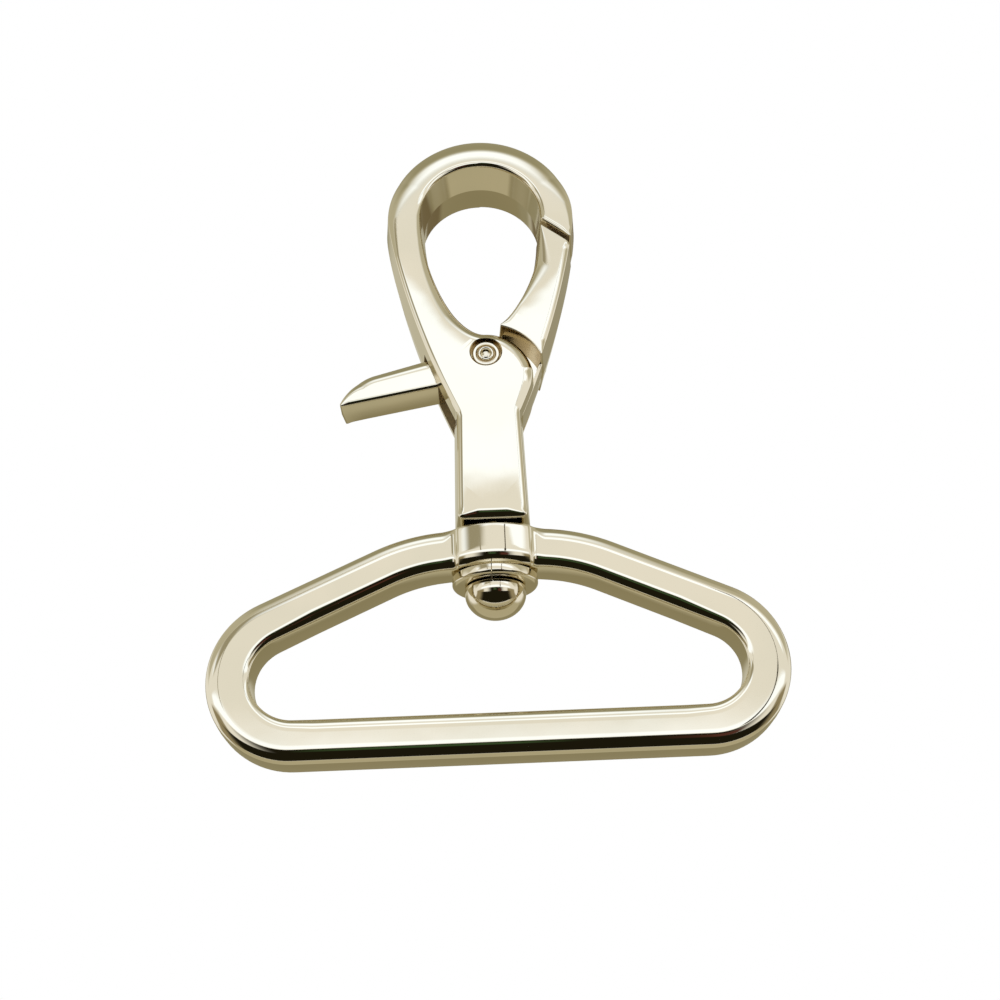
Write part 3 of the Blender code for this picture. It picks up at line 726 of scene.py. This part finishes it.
skirt_side = flank[(flank[:, 1] > SKIRT_LOW) & (flank[:, 1] < SKIRT_HIGH)][::-1]
skirt_high, skirt_low = (SKIRT_INNER_HIGH, skirt_side[-1, 1]), (SKIRT_INNER_LOW, skirt_side[0, 1])
skirt_legs = [
    leg(straight(skirt_high, skirt_low, count=12), SKIRT_EDGE),
    leg(straight(skirt_low, skirt_side[0], count=4), SKIRT_EDGE),
    leg(skirt_side, SKIRT_EDGE, draft=WALL_DRAFT / 2),
    leg(straight(skirt_side[-1], skirt_high, count=6), SKIRT_EDGE)]
skirt = plate("gate_skirt", outline(skirt_legs, SKIRT_CORNERS), skirt_depth)
for vert in skirt.data.vertices:
    vert.co.y = max(vert.co.y, SKIRT_FRONT_GAP - LEVER_HALF_DEPTH)
combine(lever, skirt, "UNION")
bore = turned("lever_bore", rod(LEVER_BORE, -HOOK_HALF_DEPTH, HOOK_HALF_DEPTH), (0, 1, 0), (0, 0, PIVOT))
# The bore's faces are dull and painted with shade.
combine(lever, bore, "DIFFERENCE", AS_CAST_SHADED)
polished(lever, plated("lever_plating"))
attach(lever, "gate")
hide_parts("gate_lever")

# Pivot rivet: a tubular rivet of plated brass through both cheeks. Each end is spread to a flange in its
# recess, with a rolled lip round the hole and a groove round the lip, dull and painted with shade.
rivet_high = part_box("pivot_rivet")[1]
RIVET_RADIUS = 0.85 * MM
FLANGE_RADIUS = 1.14 * MM
FLANGE_FACE = rivet_high.y - 0.12 * MM
FLANGE_FOOT = recess_floor + 0.01 * MM
FLANGE_ROUND = 0.12 * MM
HOLE_RADIUS = 0.42 * MM
HOLE_DEPTH = 0.24 * MM
HOLE_CROWN = 0.14 * MM
LIP_CURVE = [(0.44, 0.0), (0.47, 0.05), (0.52, 0.08), (0.58, 0.08), (0.63, 0.05), (0.66, -0.02)]
GROOVE_CURVE = [(0.69, -0.12), (0.76, -0.13), (0.81, -0.07), (0.85, -0.01), (0.9, 0.0)]
GROOVE_REACH = (0.655 * MM, 0.82 * MM)
GROOVE_DULL_SHADED = 0.75
hole_floor = [(HOLE_RADIUS * math.sin(t), FLANGE_FACE - HOLE_DEPTH + HOLE_CROWN * math.cos(t))
              for t in np.linspace(0, QUARTER, 7)]
rings = [(radius * MM, FLANGE_FACE + height * MM) for radius, height in LIP_CURVE + GROOVE_CURVE]
flange_curve = rounding(FLANGE_RADIUS, FLANGE_FACE, FLANGE_ROUND, FLANGE_ROUND, np.linspace(QUARTER, 0, 9))
half_rivet = hole_floor + rings + flange_curve
half_rivet += [(FLANGE_RADIUS, FLANGE_FOOT), (RIVET_RADIUS, FLANGE_FOOT)]
rivet_profile = half_rivet + [(r, -h) for r, h in reversed(half_rivet)]
rivet = turned("rivet", rivet_profile, (0, 1, 0), (0, 0, PIVOT))


def in_groove(spots):
    """Tells which places lie in the groove between the rivet's lip and its flange."""
    reach = np.linalg.norm(spots - pivot_point, axis=1)
    return (reach > GROOVE_REACH[0]) & (reach < GROOVE_REACH[1])


# The groove is marked dull, which paints shade in it.
dulled_and_shaded(rivet, GROOVE_DULL_SHADED, in_groove)
polished(rivet, plated("rivet_plating", Smoothness=0.07))
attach(rivet, "hook")
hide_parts("pivot_rivet")

# Gate spring: a coil of bare spring wire that stands in a pocket of the slot's floor and pushes the
# trigger's root up.
WIRE = 0.36 * MM
COIL_RADIUS = 0.72 * MM
COIL_TURNS = 6
COIL_RESOLUTION = 40
WIRE_SIDES = 14
SEAT_GAP = 0.03 * MM


def make_coil_tree():
    """A coil along Z as a node tree, with its wire, radius, height and turns as inputs."""
    tree = bpy.data.node_groups.new("wire_coil", "GeometryNodeTree")
    for label in ("Wire", "Radius", "Height", "Turns"):
        tree.interface.new_socket(label, in_out="INPUT", socket_type="NodeSocketFloat")
    tree.interface.new_socket("Steel", in_out="INPUT", socket_type="NodeSocketMaterial")
    tree.interface.new_socket("Geometry", in_out="OUTPUT", socket_type="NodeSocketGeometry")
    given = tree.nodes.new("NodeGroupInput")
    result = tree.nodes.new("NodeGroupOutput")
    spiral = add_node(tree, "GeometryNodeCurveSpiral", Resolution=COIL_RESOLUTION)
    for label, source in (("Rotations", "Turns"), ("Start Radius", "Radius"), ("End Radius", "Radius"),
                          ("Height", "Height")):
        tree.links.new(given.outputs[source], spiral.inputs[label])
    section = add_node(tree, "GeometryNodeCurvePrimitiveCircle", Resolution=WIRE_SIDES)
    tree.links.new(maths(tree, "MULTIPLY", given.outputs["Wire"], 0.5), section.inputs["Radius"])
    tube = add_node(tree, "GeometryNodeCurveToMesh",
                    [("Curve", spiral.outputs["Curve"]), ("Profile Curve", section.outputs["Curve"])])
    tube.inputs["Fill Caps"].default_value = True
    whole = add_node(tree, "GeometryNodeRealizeInstances", [("Geometry", tube.outputs["Mesh"])])
    clad = add_node(tree, "GeometryNodeSetMaterial",
                    [("Geometry", whole.outputs["Geometry"]), ("Material", given.outputs["Steel"])])
    tree.links.new(clad.outputs["Geometry"], result.inputs["Geometry"])
    return tree


steel = plated("spring_steel", Colour=(0.62, 0.60, 0.55, 1), Drift=(0.52, 0.49, 0.43, 1), Smoothness=0.2,
               Hairlines=0.12)
spring = new_piece("spring", bmesh.new())
coil = spring.modifiers.new("coil", "NODES")
coil.node_group = make_coil_tree()
coil_start = WIRE / 2 + SEAT_GAP
coil_lean = COIL_RADIUS * math.sqrt(1 - spring_axis.z**2)
coil_height = (SPRING_TOP - SPRING_FOOT).length - coil_start - (coil_start + coil_lean) / spring_axis.z
coil_values = {"Wire": WIRE, "Radius": COIL_RADIUS, "Height": coil_height, "Turns": float(COIL_TURNS),
               "Steel": steel}
for item in coil.node_group.interface.items_tree:
    if item.in_out == "INPUT":
        coil[item.identifier] = coil_values[item.name]
bake(spring)
upright = Vector((0, 0, 1)).rotation_difference(spring_axis).to_matrix().to_4x4()
spring.data.transform(Matrix.Translation(SPRING_FOOT + spring_axis * coil_start) @ upright)
spring.data.shade_smooth()
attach(spring, "hook")
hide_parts("gate_spring")
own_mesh(spring)

# Strap loop: a low triangle of flat bar with rounded edges, cast in one with the swivel's collar, which
# swells out of the two arms. Zinc die casting, polished and plated like the hook.
LOOP_RISE = joint_place["loop_swivel"].z
BAND = 3.35 * MM
STRAP_HALF = 19.0 * MM
LOOP_HALF_DEPTH = 1.85 * MM
END_RADIUS = 3.3 * MM
BEND_RADIUS = 14.0 * MM
COLLAR_HALF = 2.95 * MM
COLLAR_HALF_DEPTH = 2.95 * MM
COLLAR_ARC = 6.0 * MM
COLLAR_FILLET = 0.6 * MM
COLLAR_FOOT = 3.42 * MM
COLLAR_CREASE = 0.06 * MM
SWIVEL_BORE = 1.55 * MM
LOOP_OUTER_EDGE = 1.15 * MM
LOOP_INNER_EDGE = 1.0 * MM
LOOP_END_EDGE = 0.65 * MM
LOOP_ROLL = 0.62
LOOP_DRAFT = 0.03 * MM
END_BLEND_START = 14 * MM
END_BLEND = 4 * MM
COLLAR_TOP_EDGE = 0.22 * MM
COLLAR_LOW_EDGE = 1.2 * MM
COLLAR_BLEND_END = 4.2 * MM
COLLAR_BLEND = 1.6 * MM
BORE_REACH = 6 * MM
RUNGS = 8


def collar_depth(x, z):
    """Half the loop's depth: flat on the arms and the bar, with the collar's arc and its fillets."""
    swell = np.sqrt(np.maximum(COLLAR_ARC**2 - x**2, 0)) - COLLAR_ARC + COLLAR_HALF_DEPTH - LOOP_HALF_DEPTH
    reach = np.clip(COLLAR_FOOT - np.abs(x), 0, COLLAR_FILLET)
    fillet = COLLAR_FILLET - np.sqrt(COLLAR_FILLET**2 - reach**2)
    fillet = np.where(np.abs(x) < COLLAR_FOOT - COLLAR_FILLET, 2 * COLLAR_FILLET, fillet)
    near = np.clip(0.5 + 0.5 * (swell - fillet) / COLLAR_CREASE, 0, 1)
    bulge = swell * (1 - near) + fillet * near - COLLAR_CREASE * near * (1 - near)
    return LOOP_HALF_DEPTH + np.where(z > LOOP_RISE / 2, np.maximum(bulge, 0), 0)


def band_line(offset):
    """The loop's closed outline at a distance outside its inner edge."""
    end_centre = np.array([STRAP_HALF - END_RADIUS, END_RADIUS])
    bend_centre = np.array([COLLAR_HALF, LOOP_RISE - BEND_RADIUS])
    end_radius, bend_radius = END_RADIUS + offset, BEND_RADIUS - BAND / 2 + offset
    span = end_centre - bend_centre
    share = (bend_radius - end_radius) / np.linalg.norm(span)
    along = span / np.linalg.norm(span)
    out = along * share + np.array([-along[1], along[0]]) * math.sqrt(1 - share * share)
    lean = math.atan2(out[1], out[0])
    corner = arc(end_centre, end_radius, -QUARTER, lean, count=40)
    bend = arc(bend_centre, bend_radius, lean, QUARTER, count=100)
    right = np.vstack([straight((0, -offset), corner[0], count=50)[:-1], corner[:-1],
                       straight(corner[-1], bend[0], count=30)[:-1], bend[:-1],
                       straight(bend[-1], (0, bend[-1, 1]), count=40)])
    return np.vstack([right[:-1], mirrored(right[:0:-1])])


def collar_share(points):
    """One at the collar and nought out on the arms and the bar."""
    near = np.clip((COLLAR_BLEND_END - np.abs(points[:, 0])) / COLLAR_BLEND, 0, 1)
    return np.where(points[:, 1] > LOOP_RISE / 2, near * near * (3 - 2 * near), 0)


shape = bmesh.new()
band_rings = []
for offset, arm_edge, collar_edge in ((BAND, LOOP_OUTER_EDGE, COLLAR_TOP_EDGE),
                                      (0.0, LOOP_INNER_EDGE, COLLAR_LOW_EDGE)):
    line = band_line(offset)
    share = collar_share(line)
    ends = np.clip((np.abs(line[:, 0]) - END_BLEND_START) / END_BLEND, 0, 1) * (offset == 0)
    plain = arm_edge + (LOOP_END_EDGE - arm_edge) * ends
    path = leg(line, plain + (collar_edge - plain) * share, LOOP_ROLL, LOOP_DRAFT)
    sign = 1 if offset == 0 else -1
    band_rings.append(ring_faces(shape, edge_rings(path[::sign], collar_depth)))
for end in (0, -1):
    side = 1 if end == 0 else -1
    outer, inner = band_rings[0][end][::-1], band_rings[1][end]
    rows = [outer]
    for rung in range(1, RUNGS):
        row = []
        for far, near in zip(outer, inner):
            place = far.co.lerp(near.co, rung / RUNGS)
            place.y = side * float(collar_depth(place.x, place.z))
            row.append(shape.verts.new(place))
        rows.append(row)
    strips(shape, rows + [inner])
loop = new_piece("strap_loop_casting", shape)
collar_bore = turned("collar_bore", rod(SWIVEL_BORE, LOOP_RISE - BORE_REACH, LOOP_RISE + BORE_REACH))
# The bore's faces are dull and painted with shade.
combine(loop, collar_bore, "DIFFERENCE", AS_CAST_SHADED)
polished(loop, plated("loop_plating"))
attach(loop, "loop")
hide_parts("strap_loop")

# Swivel post: a turned and plated pin pressed into the shank, with a domed head that carries the washer
# and the loop.
post_low, post_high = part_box("swivel_post")
POST_RADIUS = 1.5 * MM
DOME_RADIUS = post_high.x
DOME_TOP = post_low.z + 2.5 * MM
DOME_RIM = 0.45 * MM
DOME_ROUND = 0.12 * MM
DOME_STEPS = 28
rim_round = rounding(DOME_RADIUS, DOME_TOP, DOME_ROUND, DOME_ROUND, np.linspace(QUARTER, 0, 5))
dome_fall = DOME_TOP - DOME_RIM - post_low.z
dome = [(DOME_RADIUS * math.cos(t), DOME_TOP - DOME_RIM - dome_fall * math.sin(t))
        for t in np.linspace(0, QUARTER, DOME_STEPS)[:-1]]
post_profile = [(0, post_high.z), (POST_RADIUS, post_high.z), (POST_RADIUS, DOME_TOP)]
post_profile += rim_round + dome + [(0, post_low.z)]
post = turned("post", post_profile)
polished(post, plated("post_plating", Smoothness=0.05))
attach(post, "hook")
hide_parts("swivel_post")

# Swivel washer: a loose ring of plated brass between the collar and the dome, bent from strip, so that its
# ends meet in a seam. Its lower edge is rolled over.
washer_low, washer_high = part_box("swivel_washer")
WASHER_RADIUS = washer_high.x
WASHER_HOLE = 1.55 * MM
WASHER_ROUND = 0.3 * MM
WASHER_LIP = 0.1 * MM
low_curve = rounding(WASHER_RADIUS, washer_low.z, WASHER_ROUND, -WASHER_ROUND, np.linspace(0, QUARTER, 9))
high_curve = rounding(WASHER_RADIUS, washer_high.z, WASHER_LIP, WASHER_LIP, np.linspace(QUARTER, 0, 5))
washer_profile = [(WASHER_HOLE, washer_high.z)] + high_curve + low_curve + [(WASHER_HOLE, washer_low.z)]
washer = turned("washer", washer_profile, ring=True)
SEAM_PLACE = Vector((-0.28, -2.6, 0)) * MM
SEAM_HALF = 0.035 * MM
seam_top = washer_high.z + PAST
seam_corners = [(-SEAM_HALF, 0), (SEAM_HALF, 0), (SEAM_HALF, seam_top), (-SEAM_HALF, seam_top)]
seam = prism("washer_seam", seam_corners, PAST)
seam.data.transform(Matrix.Translation(SEAM_PLACE))
# The seam's walls are dull and painted with shade.
combine(washer, seam, "DIFFERENCE", AS_CAST_SHADED)
polished(washer, plated("washer_plating", Smoothness=0.05))
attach(washer, "washer")
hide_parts("swivel_washer")

# Studio: a pale floor far below, a white surround, and a tent of bright, grey and dark panels that only
# the polished metal sees. Panels are placed by the angle that they rise round the X axis, from the
# camera's side up over the top, and by how far they reach to each side.
MIDDLE = Vector((0, 0, 0.025))
TENT_RADIUS = 0.6
PANEL_POINTS = 25


def panel_material(name, colour, strength, soft):
    """A panel's glow, faded out at its edges."""
    material = bpy.data.materials.new(name)
    material.use_nodes = True
    tree = material.node_tree
    tree.nodes.clear()
    spot = add_node(tree, "ShaderNodeUVMap")
    axes = add_node(tree, "ShaderNodeSeparateXYZ", [("Vector", spot.outputs["UV"])])
    masks = []
    for axis, width in zip("XY", soft):
        away = maths(tree, "ABSOLUTE", maths(tree, "SUBTRACT", axes.outputs[axis], 0.5))
        faded = add_node(tree, "ShaderNodeMapRange", [("Value", away)], interpolation_type="SMOOTHSTEP",
                         From_Min=0.5 - width, From_Max=0.5, To_Min=1.0, To_Max=0.0)
        masks.append(faded.outputs["Result"])
    mask = maths(tree, "MULTIPLY", *masks)
    glow = add_node(tree, "ShaderNodeEmission", Color=(*colour, 1), Strength=strength)
    clear = add_node(tree, "ShaderNodeBsdfTransparent")
    mix = add_node(tree, "ShaderNodeMixShader", [(0, mask), (1, clear.outputs[0]), (2, glow.outputs[0])])
    out = add_node(tree, "ShaderNodeOutputMaterial", [("Surface", mix.outputs[0])])
    out.is_active_output = True
    return material


def panel(name, rise, reach, colour, strength=1.0, soft=(0.1, 0.1), radius=TENT_RADIUS):
    """A curved panel of the tent; rise and reach are its limits in degrees."""
    rises = np.radians(np.linspace(*rise, PANEL_POINTS))
    reaches = np.radians(np.linspace(*reach, PANEL_POINTS))
    shape = bmesh.new()
    uv = shape.loops.layers.uv.new("UVMap")
    rows = []
    for up in rises:
        row = []
        for side in reaches:
            away = Vector((math.sin(side), -math.cos(side) * math.cos(up), math.cos(side) * math.sin(up)))
            row.append(shape.verts.new(MIDDLE + radius * away))
        rows.append(row)
    for i in range(PANEL_POINTS - 1):
        for j in range(PANEL_POINTS - 1):
            face = shape.faces.new((rows[i][j], rows[i][j + 1], rows[i + 1][j + 1], rows[i + 1][j]))
            spots = ((j, i), (j + 1, i), (j + 1, i + 1), (j, i + 1))
            for loop_end, (u, v) in zip(face.loops, spots):
                loop_end[uv].uv = (u / (PANEL_POINTS - 1), v / (PANEL_POINTS - 1))
    mesh = bpy.data.meshes.new(name)
    shape.to_mesh(mesh)
    shape.free()
    made = bpy.data.objects.new(name, mesh)
    bpy.context.scene.collection.objects.link(made)
    mesh.materials.append(panel_material(name, colour, strength, soft))
    for ray in ("camera", "diffuse", "transmission", "volume_scatter", "shadow"):
        setattr(made, "visible_" + ray, False)


WINDOW_WHITE = (0.78, 0.85, 1.0)
WINDOW_STRENGTH = 1.75
BROWN_SHADE = (0.19, 0.15, 0.08)
FLAG_BLACK = (0.014, 0.012, 0.006)
LOW_OLIVE = (0.34, 0.29, 0.18)
panel("front_flag", (-74, 1), (-34, 34), FLAG_BLACK, soft=(0.3, 0.02))
panel("side_flag", (-74, -18), (-62, 62), FLAG_BLACK, soft=(0.15, 0.06), radius=0.605)
panel("green_patch", (-15, -1), (-10, 5), (0.045, 0.085, 0.035), soft=(0.3, 0.3), radius=0.58)
panel("red_patch", (-22, -4), (7, 24), (0.10, 0.035, 0.025), soft=(0.3, 0.3), radius=0.58)
panel("low_strip", (0, 14.5), (-60, 60), WINDOW_WHITE, WINDOW_STRENGTH, soft=(0.1, 0.3), radius=0.62)
panel("window", (23.5, 34), (-50, 50), WINDOW_WHITE, WINDOW_STRENGTH, soft=(0.1, 0.15))
panel("upper_grey", (36, 118), (-78, 78), (0.58, 0.555, 0.44), soft=(0.1, 0.1), radius=0.63)
panel("high_softbox", (35, 68), (-26, 24), WINDOW_WHITE, WINDOW_STRENGTH, soft=(0.4, 0.4), radius=0.61)
panel("ceiling", (56, 146), (-38, 38), (0.37, 0.35, 0.235), soft=(0.25, 0.18))
panel("left_line", (10, 24), (-20, -18), (0.30, 0.27, 0.18), soft=(0.2, 0.2), radius=0.58)
panel("right_line", (2, 16), (15, 18.5), (0.05, 0.04, 0.02), soft=(0.2, 0.1), radius=0.58)
panel("thin_line", (14, 34), (15.8, 17.6), (0.10, 0.08, 0.05), soft=(0.2, 0.1), radius=0.57)
panel("low_left", (-112, 4), (-76, -40), LOW_OLIVE, soft=(0.2, 0.1), radius=0.64)
panel("low_right", (-112, 4), (40, 76), LOW_OLIVE, soft=(0.2, 0.1), radius=0.64)
panel("far_wall", (104, 206), (-62, 62), (0.58, 0.55, 0.43), soft=(0.15, 0.1), radius=0.62)
panel("far_right", (134, 174), (9, 62), (0.36, 0.33, 0.23), soft=(0.12, 0.2), radius=0.615)
panel("table_far", (160, 211), (-60, 60), (0.31, 0.275, 0.165), soft=(0.2, 0.15))
panel("table_near", (198, 290), (-60, 60), (0.52, 0.48, 0.34), soft=(0.1, 0.1), radius=0.61)
panel("left_grey", (20, 42), (-46, -8), (0.40, 0.37, 0.27), soft=(0.35, 0.15), radius=0.59)

# Two small cards close behind the object shade the eye's inner wall.
panel("eye_card", (110, 136), (-6, 25.5), BROWN_SHADE, soft=(0.25, 0.25), radius=0.034)
panel("eye_card_right", (110, 136), (-25.5, -2), (0.33, 0.30, 0.19), soft=(0.25, 0.25), radius=0.034)

FLOOR_HEIGHT = -0.12
FLOOR_HALF = 3.0
FLOOR_PALE = (0.93, 0.93, 0.93, 1)
floor_shape = bmesh.new()
bmesh.ops.create_grid(floor_shape, x_segments=1, y_segments=1, size=FLOOR_HALF)
floor = new_piece("floor", floor_shape)
floor.location.z = FLOOR_HEIGHT
floor.visible_glossy = False
floor_paint = bpy.data.materials.new("floor_paint")
floor_paint.use_nodes = True
floor_shader = floor_paint.node_tree.nodes["Principled BSDF"]
floor_shader.inputs["Base Color"].default_value = FLOOR_PALE
floor_shader.inputs["Roughness"].default_value = 0.9
floor.data.materials.append(floor_paint)

FILL_STRENGTH = 0.75
world = bpy.data.worlds.new("surround")
bpy.context.scene.world = world
world.use_nodes = True
sky = world.node_tree
sky.nodes.clear()
path_kind = sky.nodes.new("ShaderNodeLightPath")
seen = maths(sky, "MAXIMUM", path_kind.outputs["Is Camera Ray"], path_kind.outputs["Is Glossy Ray"])
shown = maths(sky, "MAXIMUM", seen, path_kind.outputs["Is Transmission Ray"])
fill = add_node(sky, "ShaderNodeBackground", Color=(1, 1, 1, 1), Strength=FILL_STRENGTH)
white = add_node(sky, "ShaderNodeBackground", Color=(1, 1, 1, 1), Strength=1.0)
either = add_node(sky, "ShaderNodeMixShader", [(0, shown), (1, fill.outputs[0]), (2, white.outputs[0])])
add_node(sky, "ShaderNodeOutputWorld", [("Surface", either.outputs[0])])

KEY_PLACE = (-0.25, -0.35, 0.6)
KEY_WIDTH = 0.5
KEY_WATTS = 3.0
key_light = bpy.data.lights.new("key", "AREA")
key_light.shape = "DISK"
key_light.size = KEY_WIDTH
key_light.energy = KEY_WATTS
key = bpy.data.objects.new("key", key_light)
bpy.context.scene.collection.objects.link(key)
key.location = KEY_PLACE
key.rotation_euler = (MIDDLE - key.location).to_track_quat("-Z", "Y").to_euler()
key.visible_glossy = False

# Camera: below the object and looking up at it, as in the photograph, turned and rolled by a few degrees.
# Its lens, place and roll come from fitting a pinhole to the loop's bar and arms.
LENS, SENSOR = 52.2, 36.0
PITCH, YAW, ROLL = math.radians(24.23), math.radians(1.08), math.radians(2.575)
AIM = Vector((0.676, 0, 18.09)) * MM
DISTANCE = 117.77 * MM
NEAR_CLIP = 5 * MM
ahead = Vector((math.sin(YAW) * math.cos(PITCH), math.cos(YAW) * math.cos(PITCH), math.sin(PITCH)))
level_right = Vector((math.cos(YAW), -math.sin(YAW), 0))
level_up = level_right.cross(ahead)
right = level_right * math.cos(ROLL) - level_up * math.sin(ROLL)
up = level_right * math.sin(ROLL) + level_up * math.cos(ROLL)
lens = bpy.data.cameras.new("camera")
lens.sensor_fit = "HORIZONTAL"
lens.sensor_width = SENSOR
lens.lens = LENS
lens.clip_start = NEAR_CLIP
camera = bpy.data.objects.new("camera", lens)
bpy.context.scene.collection.objects.link(camera)
turn = Matrix((right, up, -ahead)).transposed().to_4x4()
camera.matrix_world = Matrix.Translation(AIM - ahead * DISTANCE) @ turn
bpy.context.scene.camera = camera
bpy.context.scene.view_settings.view_transform = "Standard"
